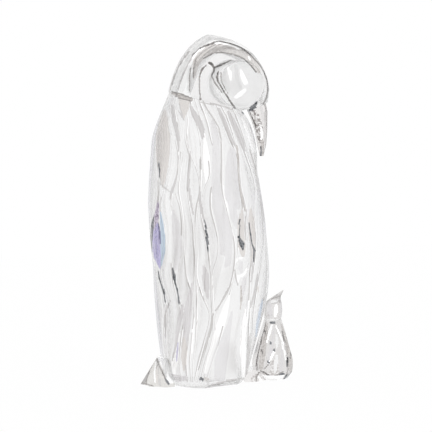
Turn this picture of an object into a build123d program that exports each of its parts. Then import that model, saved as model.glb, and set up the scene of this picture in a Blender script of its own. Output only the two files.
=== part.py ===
from build123d import *
from math import acos, cos, pi, radians, sin, tan
import os

os.makedirs("parts", exist_ok=True)

# A cut crystal figurine: an adult penguin with bowed head and a chick at its feet.
# It faces +X and stands on z = 0, with the origin in the middle of the adult's flat base.
# Every piece is a polished crystal of its own, bonded to its neighbour on a ground seat.

# Adult body: height of its neck seat over the origin, depth, width and bevelled base
BODY_HEIGHT = 129.6
BODY_DEPTH = 54.0
BODY_WIDTH = 48.0
BEVEL_INSET = 2.2
NECK_SLOPE = 14.5
RIDGE_TURN = 13.0
# The photograph's pixel rows at the base and the neck seat, and rows across the body from
# the bevel to above the neck, with the width of each
BASE_PIXEL = 383.5
NECK_PIXEL = 101.8
ROW_PIXELS = (377, 335, 288, 250, 220, 185, 152, 118, 85)
WIDTH_SHARES = (0.79, 0.88, 0.96, 1.0, 1.0, 0.97, 0.90, 0.79, 0.58)
# Where the back edge and then each feather ridge of one side cross the rows, as far as the
# front edge. Two ridges that draw together end a feather in a point.
RIDGE_PIXELS = (
    (164, 157, 153, 151, 148.5, 148, 150.5, 158.5, 173),
    (166.5, 159.5, 155.5, 153.5, 151, 150.5, 153, 160.5, 174),
    (171.5, 167.5, 164.5, 164.5, 164, 163.5, 169.5, 168.5, 177),
    (174, 177, 176, 172, 172, 173, 179, 171.5, 178.3),
    (187, 188.5, 192.3, 185, 184, 179, 183, 184, 181.5),
    (190, 191.5, 194, 195.2, 193, 187.5, 190.2, 185.6, 183.3),
    (193, 204, 202.5, 197.6, 197.4, 200.2, 200.5, 195.5, 188),
    (199, 211, 213, 217, 215, 211, 215, 206.5, 194.5),
    (202, 215, 227, 235, 230.5, 222, 222, 213.5, 197.5),
    (242, 242, 250, 251, 247.8, 241, 238.5, 227.5, 208),
    (243.5, 248.5, 251.8, 255.5, 254.3, 254.3, 245.3, 232, 212),
    (245, 252, 257, 263, 262.8, 257.5, 248, 237, 215.5),
    (247, 259, 269.5, 268.5, 265.5, 260, 257, 247, 222),
)

# Adult head: a hood cut in bands on each side of its keel. Its front stands out over the
# chest, and its cheeks stand in from the edge of the shoulders.
HEAD_LENGTH = 47.0
HEAD_HEIGHT = 34.5
HEAD_LAP = 3.9
CHEST_OVERHANG = 5.5
SHOULDER_LEDGE = 4.4
JAW_LENGTH = 15.9
JAW_SLOPE = 13.0
# Corners of the hood's keel outline along the head and up it, with the bulge of the arc that
# leads to the next corner
HOOD_OUTLINE_SHARES = (
    (0.000, 0.100, 0.05),
    (0.135, 0.680, 0.09),
    (0.400, 1.000, 0.06),
    (0.810, 0.810, 0.09),
    (1.000, 0.300, 0.06),
    (0.935, -0.060, 0.00),
)
# The hood's bands narrow towards this point. Rings from the cheek to the keel: place across
# and scale of the outline.
HOOD_CENTRE_SHARES = (0.56, 0.10)
HOOD_RING_SHARES = (
    (1.00, 0.750),
    (0.81, 0.833),
    (0.62, 0.930),
    (0.00, 1.000),
)

# Cheek dome, seated in a round socket on each side of the head
DOME_RADIUS = 10.4
DOME_EDGE = 1.2
DOME_CROWN = 4.8
DOME_SETBACK = 16.4
DOME_RISE = 12.2
SOCKET_DEPTH = 2.4
SOCKET_GROOVE = 0.5

# Adult beak, hanging from the seat under the jaw
BEAK_LENGTH = 26.2
BEAK_DEPTH = 10.8
BEAK_WIDTH = 10.0
BEAK_PROUD = 0.2
BEAK_LAP = 0.4
BEAK_SIDES = 8
# Each level: distance down the beak, inset of its front, scale of its section
BEAK_LEVEL_SHARES = (
    (0.00, 0.10, 1.000),
    (0.22, 0.00, 0.855),
    (0.38, 0.00, 0.690),
    (0.55, 0.00, 0.550),
    (0.80, 0.04, 0.395),
    (1.00, 0.16, 0.165),
)

# Fluted fans: the tail behind the adult and the feet before it. The root of each lies under
# the edge of the base, and a fan has two flat facets to each flute.
TAIL_REACH = 11.9
TAIL_WIDTH = 22.0
TAIL_HEIGHT = 12.4
TAIL_TUCK = 2.0
TAIL_FLUTES = 5
TAIL_TOP_SHARE = 0.42
FOOT_REACH = 8.7
FOOT_WIDTH = 6.4
FOOT_HEIGHT = 4.6
FOOT_TUCK = 2.3
FOOT_SPREAD = 5.6
FOOT_FLUTES = 3
FOOT_TOP_SHARE = 0.65
FLUTE_SHARE = 0.10

# Chick
CHICK_GAP = 4.3
CHICK_BODY_HEIGHT = 27.5
CHICK_BODY_RADIUS = 9.0
CHICK_FACETS = 10
CHICK_BASE_SHARES = (0.76, 0.090, 0.96)
CHICK_LEVEL_SHARES = (
    (0.200, 1.00),
    (0.330, 0.98),
    (0.510, 0.84),
    (0.750, 0.65),
    (1.000, 0.43),
)
CHICK_HEAD_HEIGHT = 13.5
CHICK_HEAD_RADIUS = 4.4
# Each level of the head: height, lean to the front, scale of its radius
CHICK_HEAD_LEVEL_SHARES = (
    (0.00, 0.00, 0.86),
    (0.14, 0.00, 0.96),
    (0.32, 0.00, 1.00),
    (0.48, 0.02, 0.96),
    (0.60, 0.10, 0.82),
    (0.69, 0.22, 0.64),
    (0.80, 0.50, 0.38),
    (1.00, 1.14, 0.06),
)

# One overrun serves all cuts
OVERRUN = 3.0

# The edges of the photographed body, the middle of its base and its deepest row
back_pixels, *ridge_pixels = RIDGE_PIXELS
front_pixels = ridge_pixels[-1]
middle_pixel = (back_pixels[0] + front_pixels[0]) / 2
depth_pixels = max(front - back for back, front in zip(back_pixels, front_pixels))


def depth_place(pixel):
    """Place along the figure of a pixel across the photographed body."""
    return BODY_DEPTH * (pixel - middle_pixel) / depth_pixels


def row_height(pixel):
    """Height of a row of the photographed body."""
    return BODY_HEIGHT * (BASE_PIXEL - pixel) / (BASE_PIXEL - NECK_PIXEL)


# Places that follow from these sizes. The third row from the top crosses the chest, and the
# second one the shoulders.
base_back = depth_place(back_pixels[0])
base_front = depth_place(front_pixels[0])
chest_front = depth_place(front_pixels[-3])
head_front = chest_front + CHEST_OVERHANG
head_back = head_front - HEAD_LENGTH
head_bottom = BODY_HEIGHT - HEAD_LAP
cheek_place = BODY_WIDTH * WIDTH_SHARES[-2] / 2 - SHOULDER_LEDGE
jaw_root = head_front - JAW_LENGTH
chick_place = base_front + CHICK_GAP + CHICK_BODY_RADIUS


def loop(items):
    """Each item with the one that follows it, round a closed ring."""
    return zip(items, items[1:] + items[:1])


def closed_solid(faces):
    """The solid inside a closed set of faces."""
    return Solid(Shell(faces))


def ring_lines(points):
    """Straight edges round a ring of points."""
    return [Edge.make_line(a, b) for a, b in loop(points)]


def ridged_solid(ridges, foot_ring=None):
    """A solid of long facets, one between each two neighbouring ridges.

    Each ridge is a list of points from the bottom up, drawn as one smooth curve. A foot
    ring of points below the ridges adds a band of short bevel facets.
    """
    edges = [Edge.make_spline(points) for points in ridges]
    faces = [Face.make_surface_from_curves(left, right) for left, right in loop(edges)]
    bottom = [points[0] for points in ridges]
    top = [points[-1] for points in ridges]
    if foot_ring:
        lower, upper = ring_lines(foot_ring), ring_lines(bottom)
        faces += [Face.make_surface_from_curves(a, b) for a, b in zip(lower, upper)]
        bottom = foot_ring
    faces.append(Face(Wire(ring_lines(bottom))))
    faces.append(Face(Wire(ring_lines(top))))
    return closed_solid(faces)


def bulged_edges(points, bulge_shares):
    """Edges round a ring, straight or bulged outwards by a share of the chord."""
    centre = sum(points, Vector()) / len(points)
    edges = []
    for (start, end), bulge_share in zip(loop(points), bulge_shares):
        if not bulge_share:
            edges.append(Edge.make_line(start, end))
            continue
        chord = end - start
        middle = (start + end) / 2
        across = chord.cross((middle - centre).cross(chord)).normalized()
        if across.dot(middle - centre) < 0:
            across = across * -1
        edges.append(Edge.make_three_point_arc(start, middle + across * (chord.length * bulge_share), end))
    return edges


def oval_ring(middle, half_depth, half_width, height, sides):
    """Corners round a level oval, with a flat side at each end."""
    angles = [2 * pi * (side + 0.5) / sides for side in range(sides)]
    return [
        Vector(middle + half_depth * cos(angle), half_width * sin(angle), height)
        for angle in angles
    ]


def flat_solid(rings):
    """A solid of flat facets between rings of points that differ in scale and place alone."""
    outlines = [rings[0], rings[-1]]
    for lower, upper in zip(rings, rings[1:]):
        outlines += [[a, b, d, c] for (a, b), (c, d) in zip(loop(lower), loop(upper))]
    return closed_solid([Face(Wire(ring_lines(outline))) for outline in outlines])


def banded_solid(rings):
    """A solid of straight-ruled bands between rings that have the same count of edges."""
    faces = []
    for ring, following in zip(rings, rings[1:]):
        faces += [Face.make_surface_from_curves(a, b) for a, b in zip(ring, following)]
    faces.append(Face(Wire(rings[0])))
    faces.append(Face(Wire(rings[-1])))
    return closed_solid(faces)


def body_ring(row, height, inset=0):
    """The corners of one row of the adult body, one at each feather ridge."""
    back, front = back_pixels[row], front_pixels[row]
    half_depth = depth_place(front) / 2 - depth_place(back) / 2 - inset
    middle = depth_place(front) / 2 + depth_place(back) / 2
    half_width = BODY_WIDTH * WIDTH_SHARES[row] / 2 - inset
    near = []
    for ridge in ridge_pixels:
        share = (ridge[row] - back) / (front - back)
        near.append(-radians(RIDGE_TURN) - acos(2 * share - 1))
    far = [-angle for angle in reversed(near)]
    return [
        Vector(middle + half_depth * cos(angle), half_width * sin(angle), height)
        for angle in near + far
    ]


def neck_height(along):
    """Height of the slanting neck seat at a place along the figure."""
    return BODY_HEIGHT - along * tan(radians(NECK_SLOPE))


def jaw_height(along):
    """Height of the jaw seat, which rises to the front from the end of the neck seat."""
    return neck_height(jaw_root) + (along - jaw_root) * tan(radians(JAW_SLOPE))


def side_prism(corners):
    """A prism right across the figure, from its outline seen from the side."""
    outline = [Vector(x, -BODY_WIDTH, z) for x, z in corners]
    return Solid.extrude(Face(Wire(ring_lines(outline))), Vector(0, 2 * BODY_WIDTH, 0))


def make_adult_body():
    rings = [body_ring(row, row_height(pixel)) for row, pixel in enumerate(ROW_PIXELS)]
    base = body_ring(0, 0, BEVEL_INSET)
    trunk = ridged_solid([list(ridge) for ridge in zip(*rings)], base)
    reach = BODY_DEPTH
    above_neck = side_prism([
        (-reach, neck_height(-reach)),
        (reach, neck_height(reach)),
        (reach, BODY_HEIGHT + reach),
        (-reach, BODY_HEIGHT + reach),
    ])
    return trunk - above_neck


def head_ring(across, scale):
    """The hood's outline, seen from the side, at a place across it."""
    centre_along, centre_up = HOOD_CENTRE_SHARES
    points = [
        Vector(
            head_back + HEAD_LENGTH * (centre_along + scale * (along - centre_along)),
            cheek_place * across,
            head_bottom + HEAD_HEIGHT * (centre_up + scale * (up - centre_up)),
        )
        for along, up, bulge in HOOD_OUTLINE_SHARES
    ]
    return bulged_edges(points, [bulge for along, up, bulge in HOOD_OUTLINE_SHARES])


def under_head():
    """What lies below the head: the neck seat and, before it, the jaw seat."""
    reach = BODY_DEPTH
    return side_prism([
        (-reach, neck_height(-reach)),
        (jaw_root, neck_height(jaw_root)),
        (jaw_root + reach, jaw_height(jaw_root + reach)),
        (jaw_root + reach, 0),
        (-reach, 0),
    ])


def dome_place(side):
    """The seat of a cheek dome: a plane on the head's side, facing outwards."""
    return Plane(
        origin=(head_front - DOME_SETBACK, side * (cheek_place - SOCKET_DEPTH), head_bottom + DOME_RISE),
        x_dir=(1, 0, 0),
        z_dir=(0, side, 0),
    )


def make_adult_head():
    near = [head_ring(-across, scale) for across, scale in HOOD_RING_SHARES]
    far = [head_ring(across, scale) for across, scale in reversed(HOOD_RING_SHARES[:-1])]
    hood = banded_solid(near + far) - under_head()
    for side in (-1, 1):
        socket = Solid.make_cylinder(DOME_RADIUS + SOCKET_GROOVE, SOCKET_DEPTH + OVERRUN, dome_place(side))
        hood = hood - socket
    return hood


def make_cheek_dome(side):
    """A polished dome: a round stem that the socket takes, under a spherical crown."""
    crown_height = SOCKET_DEPTH + DOME_EDGE + DOME_CROWN
    sphere_radius = (DOME_RADIUS**2 + DOME_CROWN**2) / (2 * DOME_CROWN)
    seat = dome_place(side)
    centre = seat.origin + seat.z_dir * (crown_height - sphere_radius)
    stem = Solid.make_cylinder(DOME_RADIUS, crown_height + OVERRUN, seat)
    return stem & Solid.make_sphere(sphere_radius, Plane(centre))


def make_adult_beak():
    beak_front = head_front + BEAK_PROUD
    beak_top = jaw_height(beak_front) + BEAK_LAP
    rings = []
    for down, inset, scale in BEAK_LEVEL_SHARES:
        half_depth = BEAK_DEPTH * scale / 2
        half_width = BEAK_WIDTH * scale / 2
        middle = beak_front - BEAK_DEPTH * inset - half_depth
        height = beak_top - BEAK_LENGTH * down
        rings.append(oval_ring(middle, half_depth, half_width, height, BEAK_SIDES))
    reach = BODY_DEPTH
    above_jaw = side_prism([
        (jaw_root - reach, jaw_height(jaw_root - reach)),
        (jaw_root + reach, jaw_height(jaw_root + reach)),
        (jaw_root + reach, BODY_HEIGHT + reach),
        (jaw_root - reach, BODY_HEIGHT + reach),
    ])
    return flat_solid(rings) - above_jaw


def make_fan(root, length, width, height, flutes, top_share, side, facing):
    """A fluted fan on the ground, spreading from a root towards one end of the figure.

    Its top repeats its bottom at a smaller scale, so every facet is flat.
    """
    rings = []
    for z, scale in ((0, 1), (height, top_share)):
        points = []
        for corner in range(2 * flutes + 1):
            angle = pi * (corner / (2 * flutes) - 1 / 2)
            spread = scale * (1 - FLUTE_SHARE * (1 - corner % 2))
            points.append(Vector(
                root + facing * length * spread * cos(angle),
                side + width * spread * sin(angle) / 2,
                z,
            ))
        rings.append(points)
    return flat_solid(rings)


def make_chick_body():
    """A bevelled pear: each pair of its facets is a slab cut straight across the profile."""
    base_share, bevel_height, bevel_share = CHICK_BASE_SHARES
    levels = [
        Vector(CHICK_BODY_RADIUS * radius, 0, CHICK_BODY_HEIGHT * height)
        for height, radius in ((bevel_height, bevel_share),) + CHICK_LEVEL_SHARES
    ]
    foot = Vector(CHICK_BODY_RADIUS * base_share, 0, 0)
    front = Wire([Edge.make_line(foot, levels[0]), Edge.make_spline(levels)])
    back = front.mirror(Plane.YZ)
    outline = Wire([
        *front.edges(),
        Edge.make_line(front @ 1, back @ 1),
        *back.edges(),
        Edge.make_line(back @ 0, front @ 0),
    ])
    reach = CHICK_BODY_RADIUS + OVERRUN
    slab = Solid.extrude(Face(outline), Vector(0, 2 * reach, 0)).translate(Vector(0, -reach, 0))
    body = slab
    for turn in range(1, CHICK_FACETS // 2):
        body = body & slab.rotate(Axis.Z, 360 * turn / CHICK_FACETS)
    return body.translate(Vector(chick_place, 0, 0))


def make_chick_head():
    """A head cut in rows of facets that draws out into the beak, pointing up and forward."""
    rings = []
    for height, lean, scale in CHICK_HEAD_LEVEL_SHARES:
        middle = chick_place + CHICK_HEAD_RADIUS * lean
        radius = CHICK_HEAD_RADIUS * scale
        level = CHICK_BODY_HEIGHT + CHICK_HEAD_HEIGHT * height
        rings.append(oval_ring(middle, radius, radius, level, CHICK_FACETS))
    return flat_solid(rings)


chick_body = make_chick_body()
tail = make_fan(
    base_back + TAIL_TUCK, TAIL_REACH + TAIL_TUCK, TAIL_WIDTH, TAIL_HEIGHT, TAIL_FLUTES,
    TAIL_TOP_SHARE, 0, -1,
)
right_foot, left_foot = (
    make_fan(
        base_front - FOOT_TUCK, FOOT_REACH + FOOT_TUCK, FOOT_WIDTH, FOOT_HEIGHT, FOOT_FLUTES,
        FOOT_TOP_SHARE, side, 1,
    )
    for side in (-FOOT_SPREAD, FOOT_SPREAD)
)
pieces = {
    "adult_body": make_adult_body() - tail - right_foot - left_foot,
    "adult_head": make_adult_head(),
    "right_cheek_dome": make_cheek_dome(-1),
    "left_cheek_dome": make_cheek_dome(1),
    "adult_beak": make_adult_beak(),
    "adult_tail": tail,
    "right_foot": right_foot - chick_body,
    "left_foot": left_foot - chick_body,
    "chick_body": chick_body,
    "chick_head": make_chick_head(),
}
for name, piece in pieces.items():
    export_step(piece, f"parts/{name}.step")
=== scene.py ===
from bisect import bisect_right
from math import acos, atan2, cos, pi, radians, sin, tan

import bmesh
import bpy
import numpy as np
from bpy.props import FloatProperty, FloatVectorProperty, IntProperty, PointerProperty
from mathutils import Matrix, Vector


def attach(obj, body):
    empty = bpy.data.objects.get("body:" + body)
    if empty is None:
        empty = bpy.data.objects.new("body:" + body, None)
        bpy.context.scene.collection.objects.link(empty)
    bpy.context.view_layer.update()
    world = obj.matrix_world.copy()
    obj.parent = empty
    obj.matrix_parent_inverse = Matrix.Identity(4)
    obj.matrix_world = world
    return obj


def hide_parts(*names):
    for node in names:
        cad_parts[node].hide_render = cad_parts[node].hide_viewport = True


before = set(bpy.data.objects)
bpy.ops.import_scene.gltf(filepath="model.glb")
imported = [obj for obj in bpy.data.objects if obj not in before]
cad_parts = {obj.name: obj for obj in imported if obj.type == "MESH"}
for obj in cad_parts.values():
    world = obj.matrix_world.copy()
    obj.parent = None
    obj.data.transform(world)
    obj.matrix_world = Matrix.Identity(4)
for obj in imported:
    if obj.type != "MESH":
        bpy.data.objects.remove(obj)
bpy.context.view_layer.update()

bl_info = {
    "name": "Cut crystal penguin figurine",
    "version": (1, 0, 0),
    "blender": (4, 5, 0),
    "location": "3D View > Sidebar > Figurine",
    "description": "Dresses an adult penguin and its chick as polished lead crystal on a white table",
    "category": "Object",
}

MM = 0.001

# The adult's body in millimetres, and its neck seat's slope in degrees. The body's depth is what
# the photograph's pixels are measured by.
BODY_DEPTH = 54.0
BODY_WIDTH = 47.98
NECK_HEIGHT = 129.6
NECK_SLOPE = 14.5

# The photograph's frame: its size, the middle of the figurine's base in it, and one of its
# pixels measured on the figurine
IMAGE_SIZE = 432
BASE_PIXEL_X = 205.5
BASE_PIXEL_Y = 383.5
BODY_DEPTH_PIXELS = 117.5
MM_PER_PIXEL = BODY_DEPTH / BODY_DEPTH_PIXELS

# The adult's body, read off the photograph: rows from the bevel up to above the neck
ROW_PIXELS = (377, 357, 335, 308, 288, 269, 250, 235, 220, 203, 185, 170, 152, 135, 118, 100, 85)
BACK_PIXELS = (
    164, 160, 157, 154.5, 153, 152.5, 151, 149.5, 148.5, 147.5, 148, 149, 150.5, 152.5, 158.5, 166, 173)
FRONT_PIXELS = (
    247, 253, 259, 266, 269.5, 270, 268.5, 267, 265.5, 263, 260, 257.5, 257, 254, 247, 233, 222)
WIDTH_SHARES = (
    0.79, 0.83, 0.88, 0.93, 0.96, 0.985, 1.0, 1.0, 1.0, 0.99, 0.97, 0.95, 0.90, 0.85, 0.79, 0.70, 0.58)
# Where each feather ridge of the near side crosses each row, from back to front
RIDGE_PIXELS = (
    (166.5, 162.5, 159.5, 157, 155.5, 155, 153.5, 152, 151, 150.2, 150.5, 151.5, 153, 155, 160.5, 167.5,
     174),
    (169, 165.5, 164, 164.5, 161.5, 158.5, 156, 154.5, 155.5, 157, 158.8, 158.5, 157.3, 158, 162.5, 169,
     175.5),
    (171.5, 168.5, 167.5, 168, 164.5, 161.5, 164.5, 165.3, 164, 161, 163.5, 166.5, 169.5, 170, 168.5,
     171, 177),
    (174, 172.5, 177, 181, 176, 172.8, 172, 172, 172, 171.5, 173, 177.5, 179, 175.5, 171.5, 172.5, 178.3),
    (180.5, 179, 181, 184, 178.5, 178.5, 181, 182, 182.5, 180.5, 175.5, 178.8, 181.2, 180.5, 176.5,
     174.5, 179.5),
    (187, 186, 188.5, 190.5, 192.3, 187, 185, 184, 184, 182, 179, 180.3, 183, 184, 184, 179, 181.5),
    (190, 189.5, 191.5, 194.3, 194, 194.8, 195.2, 194, 193, 190, 187.5, 188.5, 190.2, 185.6, 185.6,
     182.5, 183.3),
    (191.5, 192.5, 195.5, 197, 197.5, 196.2, 196.4, 195.8, 195.5, 196.8, 199.4, 197.8, 191.7, 187.2,
     187.5, 184.5, 185),
    (193, 198, 204, 209.5, 202.5, 197.2, 197.6, 197.5, 197.4, 198.4, 200.2, 200.3, 200.5, 200, 195.5,
     189.5, 188),
    (196.5, 201.5, 208, 212, 211.5, 210.8, 209.2, 207.5, 203.5, 200.3, 203.5, 209, 208.5, 205, 201, 194,
     191),
    (199, 204, 211, 213.5, 213, 212, 217, 217.8, 215, 211, 211, 214.5, 215, 211, 206.5, 198.5, 194.5),
    (202, 207.5, 215, 216, 227, 233, 235, 234, 230.5, 226, 222, 221.5, 222, 221, 213.5, 203, 197.5),
    (205, 211, 219, 226.5, 230, 235, 237, 238, 239, 242, 239, 237.3, 236.8, 229.5, 223, 213, 204.5),
    (242, 242, 242, 248, 250, 250.3, 251, 249.5, 247.8, 245.5, 241, 239.2, 238.5, 233.5, 227.5, 217.5,
     208),
    (243.5, 247, 248.5, 250, 251.8, 253.5, 255.5, 255.8, 254.3, 253.8, 254.3, 251, 245.3, 239, 232, 223,
     212),
    (245, 249, 252, 254, 257, 260, 263, 264, 262.8, 261, 257.5, 254.5, 248, 243.5, 237, 227.5, 215.5),
    (246, 251.5, 257, 262.5, 266.5, 267.8, 266.8, 265.6, 264.3, 262, 259, 256.5, 254.5, 251, 243, 230.5,
     219.5),
    FRONT_PIXELS,
)
# Ridges that draw together stay this far apart, and the rearmost this share off the back's edge
NARROWEST_PIXELS = 0.5
BACK_RIDGE_SHARE = 0.018
# Steps up each ridge and down the base's bevel, how far above the neck the ridges are followed,
# and the fewest columns across a facet, which is all that the far side has
FACET_STEPS = 250
BEVEL_STEPS = 5
RIDGE_OVERRUN = 9
FEWEST_COLUMNS = 3
# How deep a facet is hollowed, as a share of its width
HOLLOW_SHARE = 0.03
# The polished edge along a ridge: a dark side of painted shade and a bright side of painted highlight,
# each of which swells and thins between two widths, and takes no more than a share of the facet. Each
# ridge swells later than the one before it, by a share of the period. On a facet narrower than the full
# width both sides fade, down to the last share.
EDGE_DARK = (0.24, 0.75)
EDGE_DARK_SHARE = 0.25
EDGE_BRIGHT = (0.18, 0.5)
EDGE_BRIGHT_SHARE = 0.2
EDGE_PERIOD = 41.0
EDGE_LAG_SHARE = 0.618
FULL_EDGE_WIDTH = 2.2
FADED_EDGE_SHARE = 0.1

# Adult head, in millimetres and degrees: a hood cut in bands round a flat cheek with a round socket
HEAD_LENGTH = 46.9
HEAD_HEIGHT = 34.45
HEAD_BACK = -17.8
HEAD_BOTTOM = 125.7
JAW_ROOT = 13.27
JAW_SLOPE = 13.0
CHEEK_PLACE = 14.55
# Corners of the hood's keel outline along the head and up it, with the bulge of the arc that
# leads to the next corner
HOOD_OUTLINE_SHARES = (
    (0.000, 0.100, 0.05),
    (0.135, 0.680, 0.09),
    (0.400, 1.000, 0.06),
    (0.810, 0.810, 0.09),
    (1.000, 0.300, 0.06),
    (0.935, -0.060, 0.00),
)
HOOD_CENTRE_SHARES = (0.56, 0.10)
# Rings of the hood from the cheek to the keel: place across and scale of the outline
HOOD_RING_SHARES = ((1.00, 0.750), (0.81, 0.833), (0.62, 0.930), (0.00, 1.000))
HOOD_ARC_STEPS = 40
HOOD_BAND_STEPS = 10
CHEEK_STEPS = 28
DOME_RADIUS = 10.4
DOME_EDGE = 1.2
DOME_CROWN = 4.8
# The domes' middle, along the head and up it
DOME_PLACE = (12.77, 137.9)
DOME_SEGMENTS = 160
DOME_STEPS = 26
SOCKET_DEPTH = 2.4
SOCKET_GROOVE = 0.12

# Chick's body, in millimetres: flat facets round a pear-shaped profile of height and radius
CHICK_PLACE = 32.37
CHICK_PROFILE = (
    (0.0, 6.84),
    (2.475, 8.62),
    (5.5, 8.98),
    (9.1, 8.80),
    (14.0, 7.55),
    (20.6, 5.84),
    (27.45, 3.86),
)
# Steps up one of its facets, and columns across it
CHICK_STEPS = 70
CHICK_COLUMNS = 9

# Edges that turn by more than this stay sharp, in degrees
HOOD_CREASE = 8
DOME_CREASE = 20
FACET_CREASE = 12
# A solid's mesh is made finer until no edge is longer than the first share of a cell. Each round
# halves the edges that are longer than the second.
COARSEST_SHARE = 1.6
HALVED_SHARE = 1.4
# Points of a solid's mesh that are nearer than this, in metres, are one
SEAM = 0.000001

# A face shows the marks only where it turns to the camera by more than this cosine, and a stroke
# is never drawn narrower than this on either side of its middle, in pixels
GLANCING = 0.12
FINEST_HALF_STROKE = 0.58

# Marks of the near side: what the crystal shows there, most of it painted light and shade. Each is a
# tone and a stroke through pixels of the photograph, with its width at each of them. Later strokes lie
# over earlier ones.
TAIL_MARKS = (
    # The tail's root in a painted glow, its dark fan in painted shade, and its flutes with a painted
    # highlight
    ("veil", (158.5, 357, 3), (164, 361, 9), (168.5, 369, 11), (171, 379, 9)),
    ("slate", (150, 363, 2), (147, 372, 6), (142.5, 379, 8), (141, 382.5, 8)),
    ("contour", (155.5, 357, 1), (149.5, 366, 1.2), (143, 375, 1.2), (138.5, 381, 1.4)),
    ("contour", (154, 361, 0.8), (149.5, 370, 1), (146.5, 380, 1), (146, 385, 1)),
    ("contour", (156.5, 358, 1), (160, 367, 0.8), (163.5, 375, 1), (168, 384, 1)),
    ("bright", (156, 362, 1), (154.5, 372, 1.6), (155, 382, 1.6)),
    ("line", (158, 364, 1), (158, 375, 1.2), (159, 385, 1)),
    ("tan", (157, 366, 1.5), (156.8, 374, 2.4), (157, 382, 2)),
    ("line", (160, 379, 1), (160.4, 386, 1.4)),
    ("dark", (165.3, 379, 1.2), (167, 381.5, 2.6), (168.6, 384, 2)),
    ("contour", (138.5, 382, 1), (146, 383.6, 1.2), (153, 386, 1)),
)
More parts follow.
